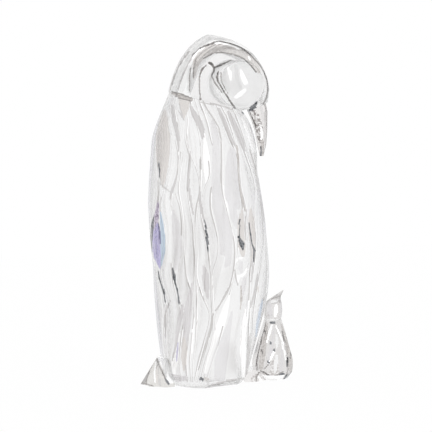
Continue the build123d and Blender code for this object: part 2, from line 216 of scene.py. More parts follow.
BODY_MARKS = (
    # Broad facets of the chest and the side, and the edge of the rounded back, in painted light and shade
    ("veil", (242, 110, 5), (247.5, 122, 10), (251.5, 135, 10), (254, 150, 5)),
    ("soft", (247, 112, 4), (251.5, 121, 6), (254.5, 132, 6), (256.5, 146, 3)),
    ("pale", (169, 112, 2), (171.3, 125, 5), (172, 140, 6), (172, 155, 6), (170.5, 170, 6), (168, 184, 4)),
    ("pale", (183.5, 122, 2), (181.5, 135, 4), (182, 150, 4)),
    ("soft", (213, 122, 5), (216, 140, 7), (216, 165, 8), (216, 185, 9), (218, 205, 12), (226, 235, 14),
     (226, 262, 10)),
    ("soft", (232, 152, 8), (231, 170, 12), (232, 190, 14), (236, 205, 10)),
    ("soft", (227, 190, 5), (230.5, 203, 8), (234, 216, 8), (237, 226, 5)),
    ("pale", (214, 275, 4), (220, 270, 8), (222, 258, 6)),
    ("limb", (161, 110, 2), (155, 128, 4), (151.5, 150, 4), (149.5, 180, 4), (149, 205, 3), (150, 228, 2)),
    ("limb", (153, 262, 3), (155, 290, 4), (157, 320, 5), (160, 345, 4), (163, 365, 2)),
    # The shoulder's large warm facet and the long point below it, in painted warm light, light and shade
    ("tan", (165, 110, 2), (163.7, 120, 8.5), (162.8, 135, 14), (162.8, 152, 14), (163.2, 166, 10.5),
     (163, 180, 5.5), (162.5, 188, 1)),
    ("pale", (160.5, 187, 2), (164, 193, 6.5), (166.5, 205, 8.5), (168, 225, 8), (170, 245, 6),
     (171, 262, 3)),
    ("line", (159, 183, 1), (164, 187, 1.2), (169, 191, 1)),
    ("deep", (176, 179, 1.4), (174, 185, 2.6), (171.6, 192, 2.8), (170, 199, 1)),
    ("dark", (158.8, 163, 0.5), (159.3, 170, 1.9), (159.6, 177, 0.8)),
    ("line", (157.8, 181, 1.4), (158.3, 193, 1.8), (157.5, 203, 2.6), (158, 212, 2.6)),
    # The painted fire at the back: mauve, then violet with a blue edge between dark rims of painted shade
    ("mauve", (158, 203, 2), (157, 212, 4), (155.5, 222, 6), (154.5, 231, 7)),
    ("violet", (157.5, 224, 2), (155.5, 233, 7), (155.5, 245, 9), (157.5, 256, 8), (160, 268, 1.5)),
    ("blue", (160.5, 212, 1.5), (162, 225, 4), (163, 240, 5), (163, 252, 4.5), (161.3, 265, 1.5)),
    ("dark", (153.5, 217, 1), (152.2, 226, 2.8), (151.3, 240, 2.4), (151.5, 254, 1)),
    ("indigo", (158.6, 224, 1), (159.6, 234, 2.2), (160.2, 244, 1)),
    # Dark flecks of painted shade below the fire
    ("dark", (158.3, 271, 0.8), (159, 277, 1.8), (161, 284, 1), (163.3, 290, 2.4), (164.5, 296, 1.2),
     (165.6, 302, 1.8)),
    ("dark", (172.6, 268, 0.8), (174, 276, 3.4), (175, 283, 1.6), (177, 289, 1.6), (178.3, 295, 1.6),
     (179, 303, 2)),
    # Feathers of the back and the neck, in painted shade, warm light and highlights
    ("deep", (172, 106, 3), (174.5, 121, 4.5), (177, 132, 4), (178.3, 142, 2.8), (178.5, 151, 1)),
    ("deep", (178.5, 111, 1), (181.5, 115.5, 2), (184, 120, 1)),
    ("tan", (184.5, 100, 12), (184.8, 108, 8), (184, 118.5, 1)),
    ("deep", (190.5, 106, 2), (194, 114, 5.5), (199, 122, 6.5), (202, 130, 5.5), (202.6, 138, 2)),
    ("pale", (191, 121, 2), (194, 135, 9), (196, 150, 9), (198, 162, 4), (200, 173, 1)),
    ("bright", (204.5, 136, 1), (205, 149, 4.5), (205.8, 165, 6), (206.5, 175, 4), (206, 183, 1)),
    ("deep", (190.3, 152, 1), (189.8, 160, 3), (188.6, 172, 2.8), (188.2, 185, 2.6), (190, 197, 2.6),
     (193, 214, 1.4)),
    ("line", (200.6, 157, 0.8), (200.4, 166, 1.8), (200.2, 179, 0.8)),
    ("deep", (200, 187, 1), (199.6, 199, 2.8), (201.5, 210, 3), (204.6, 222, 2)),
    ("dark", (204.8, 220, 0.6), (206, 230, 2), (207.3, 240, 2.6), (208.3, 251, 0.8)),
    ("soft", (173, 211, 3), (176, 225, 8), (177.5, 240, 9), (177.5, 255, 8), (176, 269, 3)),
    # The long ridge down the middle of the side, and the feathers of the chest, in painted shade and
    # highlights
    ("line", (203, 102, 1.6), (207, 109, 1.6), (213, 118, 1.4), (219, 128, 1.4), (221.2, 140, 1.4),
     (221.3, 160, 1.3), (220.8, 178, 1.3), (222, 191, 1)),
    ("bright", (222.6, 148, 0.8), (222.3, 170, 1.3), (222.8, 185, 1.4), (225.7, 200, 1.4),
     (229.5, 215, 1)),
    ("deep", (218.5, 109, 3), (223, 119, 4.4), (227, 129, 4), (230.5, 138, 3.4), (234, 144, 2.4),
     (238, 149, 1)),
    ("deep", (228.5, 112, 3), (233, 122, 5), (237.5, 132, 5.4), (241.5, 142, 5.4), (244.5, 151, 2)),
    ("umber", (236.8, 146, 1.5), (238, 158, 2.4), (238, 172, 1.5), (239.5, 186, 1.6), (242.5, 200, 1.8),
     (245, 211, 1)),
    ("line", (249.8, 150, 1), (252, 158, 2), (255, 168, 1.8), (257.5, 180, 2.2), (259.5, 190, 1.5),
     (262, 203, 2.2), (264, 222, 1.2)),
    # The pair of warm facets below the chest, with their dark flecks: painted warm light and painted shade
    ("tan", (242, 211, 2), (240.8, 222, 7), (241, 235, 6.5), (242, 246, 7.5), (243, 255, 4)),
    ("tan", (250.5, 209, 2), (251.2, 220, 6), (252, 235, 6.5), (252.5, 250, 4), (251.5, 260, 2)),
    ("dark", (240, 219, 0.6), (239, 230, 1.2), (239, 238, 2), (242, 244, 5.5), (243, 250, 1.5)),
    ("dark", (249, 223, 0.8), (250.6, 235, 1.6), (252, 244, 1), (254.3, 250, 2.4), (253.5, 262, 1)),
    ("line", (245.5, 216, 0.8), (245, 228, 1.6), (245.8, 240, 1)),
    ("deep", (250.3, 240, 1.2), (251.5, 255, 1), (252.4, 268, 2.4), (251, 282, 1.2)),
    ("deep", (257.7, 274, 1), (256.5, 283, 2.8), (254.5, 292, 1.6), (252, 302, 2.4), (250.3, 308, 1)),
    # The white brackets of painted reflection round the small lens below them, and its painted shade
    ("bright", (235.2, 263, 1.2), (237.8, 258.8, 2.4), (242, 258, 1.6)),
    ("bright", (237.6, 283, 1.6), (238.6, 276.4, 3.4), (243.6, 274.8, 2.2), (247.3, 269, 2.4)),
    ("soft", (241, 263, 4), (240.5, 268, 5), (241.5, 272, 3)),
    ("soft", (244.5, 279, 4), (243, 288, 5), (241.5, 297, 3)),
    ("line", (234.8, 270, 1), (235.5, 277, 1.6), (238, 285, 1)),
    # Feathers and bars of the lower body, in painted light and shade
    ("umber", (241, 286, 1), (241.3, 298, 2.2), (240.5, 309, 1)),
    ("shade", (204, 266, 2), (205.5, 276, 7), (206.5, 288, 5.5), (208, 299, 1.5)),
    ("line", (231, 284, 1.2), (226.5, 293, 2.4), (221, 303, 1.8), (215.5, 311, 1.2)),
    ("shade", (192, 283, 1), (190.5, 293, 4), (188.5, 305, 7), (187, 318, 8.5), (186.5, 332, 6.5),
     (185, 346, 3)),
    ("tan", (184, 338, 2), (184.5, 345, 5), (184, 358, 6), (184, 370, 2)),
    ("bright", (194.5, 317, 1), (193.5, 330, 2.4), (192.5, 342, 2.4), (192, 353, 1)),
    ("bright", (179.5, 333, 1.5), (177, 350, 4.5), (175, 362, 5.5), (174, 373, 3.5)),
    ("lilac", (178, 343, 1), (177.3, 352, 2), (176.5, 361, 1)),
    ("line", (170.5, 300, 0.8), (167.5, 307, 2), (165.5, 313, 1.4), (165.6, 325, 2), (165.3, 337, 1)),
    ("shade", (183, 305, 2), (180.5, 316, 5), (178, 328, 4), (176, 342, 2.5), (173.5, 358, 1.2)),
    # The white slant and bar at the front, painted reflections, and the blue edge of painted fire beside
    # the chick
    ("bright", (229, 296, 1.5), (225, 309, 6), (220.5, 323, 6.5), (215.5, 338, 5.5), (210, 355, 5),
     (206, 372, 3.5)),
    ("line", (213, 314, 1.5), (211, 328, 2.6), (207.5, 340, 2.2), (203.5, 352, 1.6), (198.5, 370, 1.2)),
    ("soft", (232, 312, 2), (229, 326, 5), (224, 345, 11), (221, 362, 13), (220, 376, 12)),
    ("bright", (248.3, 301, 1), (246, 315, 4), (243.8, 328, 6), (243.2, 345, 6), (243.2, 360, 5),
     (243.5, 377, 3.5)),
    ("deep", (250, 334, 1.5), (248.5, 352, 2.4), (247, 366, 2.4), (246, 377, 2)),
    ("sky", (262.3, 300, 1.5), (260.3, 313, 4), (257.8, 325, 4.2), (256, 337, 1.5)),
    ("line", (264, 298, 1), (262.5, 312, 1.4), (260, 327, 1.2), (257.5, 338, 1)),
    ("tan", (257.5, 287, 2), (258.3, 292, 1)),
    # What glitters along the base's bevel, in painted shade and warm light
    ("dark", (165, 377.5, 1.2), (166.5, 380.5, 3), (168.5, 383, 3)),
    ("shade", (170, 374, 2), (178, 379, 7), (186, 378, 4)),
    ("dark", (201, 379, 3.6), (202.4, 379.5, 2.8)),
    ("tan", (206, 379, 4), (209, 379.5, 2)),
    ("line", (217, 382.4, 1.2), (230, 380.4, 1.6), (246, 378.2, 1.2)),
    ("deep", (209, 386, 1), (216, 384.5, 3), (223, 383, 1)),
)
NECK_MARKS = (
    # The neck seat's warm band and its outlines in painted shade, and the dark corner of painted shade
    # under the beak
    ("umber", (172, 93.5, 2), (181, 96.2, 4), (191, 99.4, 4)),
    ("contour", (171, 92, 1), (176, 92.4, 1.2), (183, 94.8, 1.4), (191, 98, 1.2)),
    ("contour", (175, 96.4, 0.8), (183.5, 98.9, 1.2), (191, 101.4, 1.2)),
    ("dark", (242.5, 112.3, 2), (246.5, 112, 3.4), (250.5, 111, 1.2)),
    ("line", (200, 102, 1.4), (206, 103.7, 1), (214, 104.2, 2), (222, 106.3, 1), (232, 109.5, 1.2)),
)
HEAD_MARKS = (
    # The back of the hood in long bands of painted glow, with thin lines of painted shade
    ("veil", (172, 90, 5), (178, 74, 7), (186, 60, 7), (196, 48, 6), (207, 40, 3)),
    ("veil", (213, 76, 3), (214.5, 84, 5), (219, 95, 6), (227, 104, 4)),
    ("clear", (181.5, 90, 5), (185, 78, 5.5), (189.5, 67, 4)),
    ("line", (170, 90, 0.8), (174.5, 76, 1), (181, 62.5, 1), (189, 51.5, 0.8)),
    ("line", (178, 89, 1), (183, 76, 1.2), (188, 64, 1.2), (193, 55.5, 1)),
    # The crescent round the cheek, in painted warm light, with its painted glints and its outlines in
    # painted shade
    ("brown", (194.2, 79, 1), (195, 69, 4.5), (196.6, 61.5, 7.5), (202, 54.6, 9), (210.5, 49.4, 9.4),
     (220, 47.8, 9.4), (232, 50, 7), (241, 52.8, 7), (248, 57.5, 8), (254.5, 64.5, 8), (258.8, 71.5, 4)),
    ("brown", (206, 48.4, 2), (211, 46, 3), (217, 44.8, 2)),
    ("glint", (192.6, 58, 1.2), (198.6, 51, 1.8), (206.5, 45.6, 1)),
    ("glint", (216, 43.4, 1), (224, 43.6, 1.4), (233, 46.4, 1.2), (239, 49, 0.8)),
    ("ink", (192.5, 55, 0.8), (199.5, 48.5, 1.2), (206, 45.6, 2), (212, 43.6, 1.8), (216.5, 41.4, 1.2),
     (222, 41.4, 1), (231, 43.6, 1.2), (240, 47, 1.4), (246, 51, 1.6), (252, 56.5, 1.2)),
    ("contour", (252, 56.5, 1.2), (259, 64, 1.2), (264, 72, 1.2)),
    ("ink", (264, 72, 1.2), (267, 80, 1.4), (267.9, 90, 1.4), (266.3, 98, 1.8), (263.5, 104, 1.8)),
    ("contour", (193.3, 78, 0.8), (193.5, 68, 1), (196, 60.5, 0.8)),
    ("contour", (203.5, 58.5, 0.8), (209, 55.6, 1.2), (214.5, 52.8, 1.2), (222, 52.6, 0.8)),
    ("contour", (222, 52.6, 0.8), (233, 54.2, 1), (244, 58.7, 1)),
    ("ink", (244, 58.7, 0.8), (251, 65.7, 1), (256, 72, 1.4)),
    ("contour", (190.6, 68, 0.8), (189.6, 78, 1.2), (189.8, 91, 1.2)),
    ("glint", (248.5, 57, 2), (250.3, 59.5, 1.8)),
    # The lobe and the small cut beside the dome, and the dome's outline, in dark lines of painted shade
    ("ink", (206, 65.5, 1), (201.8, 69.3, 2), (199.4, 77, 1.2)),
    ("contour", (199.4, 77, 1.2), (199.5, 90, 1), (200.5, 100, 1.4)),
    ("ink", (209, 62.8, 2), (211.5, 63.6, 3), (214, 67.5, 2.2), (214.2, 71, 1.6), (211.8, 75, 1.4)),
    ("ink", (215, 67.2, 1.8), (219.5, 65.6, 2.2), (225, 63, 1.4), (231, 60.2, 0.8)),
    ("contour", (211.5, 75.5, 0.8), (214.5, 82, 1.4), (218.5, 88, 1.2), (222, 92, 0.8)),
    ("ink", (217.9, 73, 1.6), (217.1, 77, 2.2), (217.9, 81.5, 1.8)),
    ("ink", (218.5, 71.5, 0.8), (216.9, 76, 1.6), (218.2, 82, 1.4), (223.5, 91, 1.4), (229, 99.5, 1.6),
     (234.5, 107.5, 2.2)),
    ("contour", (221, 73, 0.8), (221, 79, 1.2), (223.5, 85.5, 1.2), (228, 93, 0.8)),
    # The dark corner of painted shade over the beak, and the pale edge of painted light below the dome
    ("dark", (250, 107.8, 1.5), (254, 106.3, 4.2), (257, 102, 1.5)),
    ("pale", (235, 103, 2), (242, 105.5, 3), (249, 103, 2)),
)
DOME_MARKS = (
    # Two panes in the clear tone, without the dome's painted glow, that only the dome has
    ("clear", (225, 69.5, 3), (223.6, 80, 4), (228, 91, 3)),
    ("clear", (235.5, 66, 3), (237, 78, 4), (240.5, 88, 3)),
)
DOME_GLINTS = (
    # Three painted highlights, white glints which the dome and the socket behind it share
    ("glint", (227.8, 68, 1.4), (230.2, 73, 3.6), (230.6, 79.5, 2)),
    ("glint", (241, 70.5, 2), (242.8, 76.5, 4.4), (245.4, 82.5, 4.4)),
    ("glint", (235.8, 97, 3), (240.5, 93.8, 4.4), (245, 90, 2.4)),
)
BEAK_MARKS = (
    # The beak's crumpled root with its painted shade, its painted glint and its warm tip
    ("crinkled", (250, 110, 8), (255, 117, 9), (258.5, 128, 9), (261, 141, 5)),
    ("dark", (248, 111, 2), (252, 109.5, 2.6), (256, 107, 2)),
    ("ink", (250, 113, 1), (252.7, 119, 1.4), (255.5, 125, 2), (256, 127.5, 1)),
    ("glint", (261.3, 128, 1.6), (261.8, 134, 2), (261.3, 139.5, 1.6)),
    ("umber", (262.5, 141, 3), (262, 150, 4), (261.5, 158, 3.4)),
    ("dark", (260.8, 147, 0.8), (261.3, 152, 1.4), (260.6, 156.5, 2)),
    ("line", (264.5, 112, 1), (265, 128, 1.2), (264.6, 142, 0.8)),
)
FOOT_MARKS = (
    # The near foot's grain, its outline in painted shade, and a painted highlight
    ("grained", (257, 380, 12), (263, 378, 12)),
    ("dark", (262.5, 372.3, 1), (266, 374, 1.6), (269, 375.8, 1.4)),
    ("contour", (256.3, 382, 1.2), (256, 377, 1.4), (258.5, 373, 1.4), (262, 372, 1)),
    ("bright", (258.5, 377, 2.2), (261, 380, 2.6)),
)
CHICK_MARKS = (
    # The chick's warm flanks, and the facets of its front in painted light and shade
    ("umber", (267.5, 324, 2), (265, 338, 4), (262.5, 355, 6), (261, 368, 4)),
    ("umber", (281.5, 325, 2), (286.5, 341, 4), (290, 357, 5), (290.5, 370, 4)),
    ("grained", (273, 362, 6), (276, 370, 9), (271, 376, 8), (262, 374, 6)),
    ("shade", (273.5, 329, 1.5), (272.5, 341, 3), (270.5, 352, 4), (268, 364, 3)),
    ("pale", (276.3, 335, 2), (277, 343, 3.4), (276.5, 348, 1.5)),
    ("shade", (281.5, 350, 1.5), (282.3, 360, 3.4), (280.5, 371, 3)),
    ("pale", (277, 356, 2.6), (275.5, 365, 4), (275, 372, 2)),
    # The chick's outline in painted shade, and its painted glints
    ("contour", (266, 322.3, 1), (262, 338, 1), (258, 354, 1), (256, 366, 1.2)),
    ("contour", (283, 322.5, 1.2), (288.5, 336, 1.4), (293, 352, 1.4), (294.5, 365, 1.4), (293, 374, 1.2)),
    ("glint", (271.8, 325, 1.4), (269.8, 332, 2.4), (266.8, 342, 1.2)),
    ("glint", (276, 326, 1), (280, 335, 1.6), (283.8, 345, 0.8)),
    ("glint", (274.3, 351.5, 2.2), (271.5, 357, 1.8), (269.3, 362.5, 1)),
    ("bright", (281.5, 343, 1.2), (284.5, 352, 2), (285.5, 360, 1)),
    # Dark specks of painted shade from its neck down to its base
    ("dark", (270.3, 322.6, 1.6), (274.5, 322.8, 2.2)),
    ("dark", (270.2, 342.5, 2), (270.6, 343.5, 1.8)),
    ("dark", (274, 349.8, 2.2), (274.6, 350.6, 2)),
    ("dark", (268.2, 361.8, 2.2), (268.8, 362.6, 1.8)),
    ("dark", (280, 374.3, 2.4), (283.3, 373.8, 2.6)),
    ("dark", (285.5, 377.2, 2), (288.8, 375.6, 2.2)),
    ("dark", (287.8, 357, 1.2), (287.4, 361, 1.8), (287, 366.5, 1.2)),
    ("ink", (282.3, 332, 1.2), (283.5, 337, 1.6), (285, 342, 1.2)),
    ("ink", (290.2, 346, 1), (291.5, 352, 1.8), (290.4, 358, 1)),
    ("umber", (292.5, 366, 2), (292, 372, 2.6), (290.5, 377, 2)),
    ("ink", (264.5, 330, 1.2), (265.5, 334, 1.6)),
    ("ink", (261.5, 350, 1.6), (262.8, 354, 1.2)),
    # Its crumpled base, with a painted glow and lines of painted shade
    ("veil", (262, 379, 4), (270, 380, 5), (278, 379, 4), (283, 378, 2)),
    ("line", (263, 378.4, 0.8), (274, 379.4, 0.8), (285, 378, 0.8)),
    ("contour", (264.5, 369, 1), (267.5, 365, 1.2)),
    ("ink", (261, 371, 1), (266, 373.4, 1.4), (271, 376.8, 1.4)),
    ("contour", (271, 376.8, 1), (277, 375, 1.2), (283, 371.5, 1)),
)
CHICK_HEAD_MARKS = (
    # The two sides of the chick's round head in painted shade, its outline and its painted glint
    ("shade", (268.5, 303, 4), (269, 310, 6), (270.5, 316, 4)),
    ("shade", (281, 302, 3), (281.5, 309, 3.4), (281, 316, 3)),
    ("line", (265.6, 318, 1), (266, 306, 1.2), (268, 301, 1.2), (273, 298, 1.4), (279, 296.5, 1.2),
     (284, 292, 1.4)),
    ("line", (285, 293, 1.4), (283.8, 300, 1.4), (283.6, 310, 1.2), (283, 318, 1)),
    ("umber", (281, 297, 2), (283.5, 298, 3), (283, 303, 2)),
    ("glint", (276.2, 305, 2), (275.8, 311, 4), (275, 316.5, 1.8)),
    ("pale", (272, 301.5, 3), (278, 300.5, 3)),
    ("line", (271.5, 303.5, 0.8), (276.5, 303, 1), (280, 300, 1)),
    ("pale", (266, 320.3, 2.4), (283.5, 320.3, 2.4)),
    ("contour", (266, 322.2, 0.8), (283.5, 322.2, 0.8)),
)

# The tones that the eye sees in the crystal, most of them painted light and shade: the colour, how
# rough its polish is, how brightly it glows with painted light, and the colour of its crinkles where it
# has them. A fine polish gives clean edges and glints, and a rough one melts what lies behind the facet
# into an even grey.
TONES = {
    # The open facets of the body: an even, very pale grey, and what faces away: no tone at all
    "clear": ("#FAFAFA", 0.24, 0, None),
    "plain": ("#FFFFFF", 0.24, 0, None),
    # The hood is a little brighter than the body, by a painted glow, and the domes are the cleanest polish
    # of all, with a fainter painted glow
    "hood": ("#FFFFFF", 0.16, 0.05, None),
    "dome": ("#FEFEFE", 0.10, 0.03, None),
    # The small pieces are tinted greyer, as painted shade, because more of their facets stand edge on
    "small": ("#F2F0EF", 0.08, 0, None),
    "chick": ("#E9E7E6", 0.10, 0, None),
    "tail": ("#E6E4E1", 0.14, 0, None),
    # Broad facets a shade under and over the clear ones: painted shade, and painted light with a faint
    # glow
    "soft": ("#F1F0F1", 0.27, 0, None),
    "pale": ("#F9F9F9", 0.22, 0.03, None),
    # A painted glow where the crystal fades into the white behind it
    "veil": ("#FEFEFE", 0.26, 0.12, None),
    # Painted reflections of the white tent in a slit or a bar, and painted highlights in the whitest
    # spots, both glowing
    "bright": ("#FFFFFF", 0.04, 0.12, None),
    "glint": ("#FFFFFF", 0.04, 0.35, None),
    # Painted shade: a facet's edge, thin and pale, and the grey outlines of the hood, the tail and the
    # chick
    "line": ("#D5D3D2", 0.05, 0, None),
    "contour": ("#A5A19F", 0.05, 0, None),
    # Painted reflections of the tent's grey folds: broad facets, narrow ones beside a ridge, and the
    # tail's fan
    "shade": ("#E6E4E5", 0.16, 0, None),
    "deep": ("#DAD8D8", 0.12, 0, None),
    "slate": ("#B9B7B6", 0.08, 0, None),
    # The body's rounded back, cooler and softer than the facets beside it, with a painted glow
    "limb": ("#EEEEF2", 0.26, 0.05, None),
    # Warm greys of painted refracted light: flat, and grained in the neck, shoulder and crescent
    "tan": ("#E8E4E1", 0.22, 0, None),
    "umber": ("#DAD6D3", 0.10, 0, "#BFBAB7"),
    "brown": ("#F4F1EF", 0.10, 0, "#E5E1DE"),
    # Painted fire: white light split into its colours, laid on as tints, faint at the front's edge and
    # strong at the back
    "sky": ("#E0E9F5", 0.14, 0, None),
    "mauve": ("#DDD3E3", 0.06, 0, "#8C7C96"),
    "lilac": ("#DDDAF0", 0.12, 0, None),
    "violet": ("#CAC5E4", 0.12, 0, "#B6AFDC"),
    "blue": ("#C2D2E2", 0.12, 0, None),
    "indigo": ("#7F7CA0", 0.06, 0, None),
    # Painted shade where light is bent clean away from the eye: thin crinkled lines, and slate-black
    # flecks
    "ink": ("#A19D9B", 0.04, 0, "#615E5D"),
    "dark": ("#8B8D91", 0.03, 0, "#353B43"),
    # The beak's crumpled cuts, dark specks on near-white, and the finer ones of the feet and chick
    "crinkled": ("#FCFAF9", 0.05, 0, "#A19B99"),
    "grained": ("#F4F2F1", 0.08, 0, "#CFCBC9"),
}
# Crinkles and striae in millimetres: the size of a crinkle, and how wide and how tall a stria is.
# Real striae are finer, and are drawn as coarse as it takes for them to show.
CRINKLE_SIZE = 1.0
CRINKLE_DETAIL = 3.0
CRINKLE_RAMP = (0.42, 0.56)
STRIA_WIDTH = 6.667
STRIA_HEIGHT = 62.5
STRIA_DETAIL = 2.0
STRIA_SHARE = 0.93

# What tells a mixing node that it mixes colours, and white as a shader takes it
COLOUR_MIX = {"data_type": "RGBA"}
WHITE = (1, 1, 1, 1)


def linear(hex_colour):
    """An sRGB hex colour as the linear values that a shader takes."""
    channels = [int(hex_colour[i:i + 2], 16) / 255 for i in (1, 3, 5)]
    return tuple(c / 12.92 if c <= 0.04045 else ((c + 0.055) / 1.055) ** 2.4 for c in channels)


def add(tree, kind, settings=None, **links):
    """One node with its settings, and links or values for its named or numbered inputs."""
    node = tree.nodes.new(kind)
    for name, value in (settings or {}).items():
        setattr(node, name, value)
    for name, value in links.items():
        numbered = name[0] == "i" and name[1:].isdigit()
        socket = node.inputs[int(name[1:])] if numbered else node.inputs[name.replace("_", " ")]
        if isinstance(value, bpy.types.NodeSocket):
            tree.links.new(value, socket)
        else:
            socket.default_value = value
    return node


def crystal(tone):
    """Lead crystal that shows a tone: heavy clear glass with faint upright striae, its facets
    so softly polished that what lies behind them melts into even greys."""
    name = f"lead_crystal_{tone}"
    material = bpy.data.materials.get(name)
    if material:
        return material
    seen, roughness, glow, crinkle = TONES[tone]
    material = bpy.data.materials.new(name)
    material.use_nodes = True
    tree = material.node_tree
    shader = tree.nodes["Principled BSDF"]
    shader.inputs["Roughness"].default_value = roughness
    shader.inputs["IOR"].default_value = bpy.context.scene.figurine_crystal.ior
    shader.inputs["Transmission Weight"].default_value = 1
    # Light passes one face going in and one coming out, and each takes the root of the colour
    colour = [channel ** 2 for channel in linear(seen)]
    place = add(tree, "ShaderNodeTexCoord")
    drawn = add(
        tree, "ShaderNodeMapping", Vector=place.outputs["Object"],
        Scale=(1 / (STRIA_WIDTH * MM), 1 / (STRIA_WIDTH * MM), 1 / (STRIA_HEIGHT * MM)))
    striae = add(
        tree, "ShaderNodeTexNoise", Vector=drawn.outputs["Vector"], Scale=1.0, Detail=STRIA_DETAIL)
    tint = add(
        tree, "ShaderNodeMix", COLOUR_MIX, i0=striae.outputs["Fac"],
        i6=(*[channel * STRIA_SHARE for channel in colour], 1),
        i7=(*[min(channel / STRIA_SHARE, 1) for channel in colour], 1))
    if crinkle:
        pits = add(
            tree, "ShaderNodeTexNoise", Vector=place.outputs["Object"], Scale=1 / (CRINKLE_SIZE * MM),
            Detail=CRINKLE_DETAIL)
        depth = add(
            tree, "ShaderNodeMapRange", Value=pits.outputs["Fac"], From_Min=CRINKLE_RAMP[0],
            From_Max=CRINKLE_RAMP[1])
        dark = [channel ** 2 for channel in linear(crinkle)]
        tint = add(
            tree, "ShaderNodeMix", COLOUR_MIX, i0=depth.outputs["Result"], i6=(*dark, 1),
            i7=tint.outputs[2])
    tree.links.new(tint.outputs[2], shader.inputs["Base Color"])
    # A painted glow: the face gives off light of its own, though it is no lamp, for painted highlights and
    # brightening
    if glow:
        shader.inputs["Emission Color"].default_value = WHITE
        shader.inputs["Emission Strength"].default_value = glow
    return material


def white_paper(colour):
    """The table's paper: matt white, shown as pure white but for the figurine's faint shadow."""
    white_share = 0.975
    material = bpy.data.materials.new("white_paper")
    material.use_nodes = True
    tree = material.node_tree
    tree.nodes.clear()
    path = add(tree, "ShaderNodeLightPath")
    seen = path.outputs["Is Camera Ray"]
    for ray in ("Is Glossy Ray", "Is Transmission Ray"):
        either = add(tree, "ShaderNodeMath", {"operation": "MAXIMUM"}, i0=seen, i1=path.outputs[ray])
        seen = either.outputs[0]
    share = add(tree, "ShaderNodeMath", {"operation": "MULTIPLY"}, i0=seen, i1=white_share)
    matt = add(tree, "ShaderNodeBsdfDiffuse", Color=(*colour, 1))
    white = add(tree, "ShaderNodeEmission", Color=WHITE, Strength=1.0)
    mix = add(
        tree, "ShaderNodeMixShader", i0=share.outputs[0], i1=matt.outputs[0], i2=white.outputs[0])
    add(tree, "ShaderNodeOutputMaterial", Surface=mix.outputs[0])
    return material


def studio_tent(fold_colour):
    """A white light tent: pure white behind the figurine, with soft grey folds round it that the
    crystal picks up."""
    folds_across = 4.0
    fold_detail = 2.0
    fold_roughness = 0.6
    darkest, whitest = 0.32, 0.48
    world = bpy.data.worlds.new("studio_tent")
    world.use_nodes = True
    tree = world.node_tree
    tree.nodes.clear()
    place = add(tree, "ShaderNodeTexCoord")
    folds = add(
        tree, "ShaderNodeTexNoise", Vector=place.outputs["Generated"], Scale=folds_across,
        Detail=fold_detail, Roughness=fold_roughness)
    tone = add(tree, "ShaderNodeValToRGB", i0=folds.outputs["Fac"])
    dark, light = tone.color_ramp.elements
    dark.position = darkest
    dark.color = (*fold_colour, 1)
    light.position = whitest
    light.color = WHITE
    path = add(tree, "ShaderNodeLightPath")
    colour = add(
        tree, "ShaderNodeMix", COLOUR_MIX, i0=path.outputs["Is Camera Ray"], i6=tone.outputs["Color"],
        i7=WHITE)
    white = add(tree, "ShaderNodeBackground", Color=colour.outputs[2], Strength=1.0)
    add(tree, "ShaderNodeOutputWorld", Surface=white.outputs[0])
    return world


def smooth_value(knots, values, at):
    """The value at a place on the smooth curve through values given at rising knots."""
    i = min(max(bisect_right(knots, at) - 1, 0), len(knots) - 2)

    def slope(k):
        before, after = max(k - 1, 0), min(k + 1, len(knots) - 1)
        return (values[after] - values[before]) / (knots[after] - knots[before])

    span = knots[i + 1] - knots[i]
    t = (at - knots[i]) / span
    return (
        values[i] * (1 + 2 * t) * (1 - t) ** 2
        + slope(i) * span * t * (1 - t) ** 2
        + values[i + 1] * t * t * (3 - 2 * t)
        + slope(i + 1) * span * t * t * (t - 1)
    )


def arch(t):
    """A curve that rises from nothing to one halfway along and falls back."""
    return 4 * t * (1 - t)


def turned_out(way, place):
    """A way of unit length, turned to the side that a place lies on."""
    way = way.normalized()
    return -way if way.dot(place) < 0 else way


def ring_edges(ring):
    """Each point of a closed ring with the next, by their numbers."""
    return list(zip(ring, [*ring[1:], ring[0]]))


def band(low, high):
    """The faces between two closed rings of points."""
    return [(a, b, d, c) for (a, b), (c, d) in zip(ring_edges(low), ring_edges(high))]


def stack(count, size):
    """The numbers of the points in a stack of closed rings, and the faces between the rings."""
    rings = [range(i * size, (i + 1) * size) for i in range(count)]
    return rings, [face for low, high in zip(rings, rings[1:]) for face in band(low, high)]


def facing_outwards(mesh):
    """Turn a closed shell's faces outwards."""
    form = bmesh.new()
    form.from_mesh(mesh)
    bmesh.ops.recalc_face_normals(form, faces=form.faces)
    form.to_mesh(mesh)
    form.free()


def mesh_piece(name, points, faces, tones=("plain",), finish=None, sharp=()):
    """A smooth-shaded piece from points in millimetres, with its tones and its sharp edges."""
    mesh = bpy.data.meshes.new(name)
    mesh.from_pydata([Vector(p) * MM for p in points], [], faces)
    facing_outwards(mesh)
    for tone in tones:
        mesh.materials.append(crystal(tone))
    mesh.polygons.foreach_set("use_smooth", [True] * len(faces))
    if finish:
        mesh.polygons.foreach_set("material_index", finish)
    if sharp:
        wanted = {tuple(sorted(pair)) for pair in sharp}
        marks = [tuple(sorted(edge.vertices)) in wanted for edge in mesh.edges]
        mesh.attributes.new("sharp_edge", "BOOLEAN", "EDGE").data.foreach_set("value", marks)
    piece = bpy.data.objects.new(name, mesh)
    bpy.context.scene.collection.objects.link(piece)
    return piece


def settle(piece):
    """Turn a piece with its modifiers into a plain mesh."""
    depsgraph = bpy.context.evaluated_depsgraph_get()
    mesh = bpy.data.meshes.new_from_object(piece.evaluated_get(depsgraph))
    piece.modifiers.clear()
    piece.data = mesh


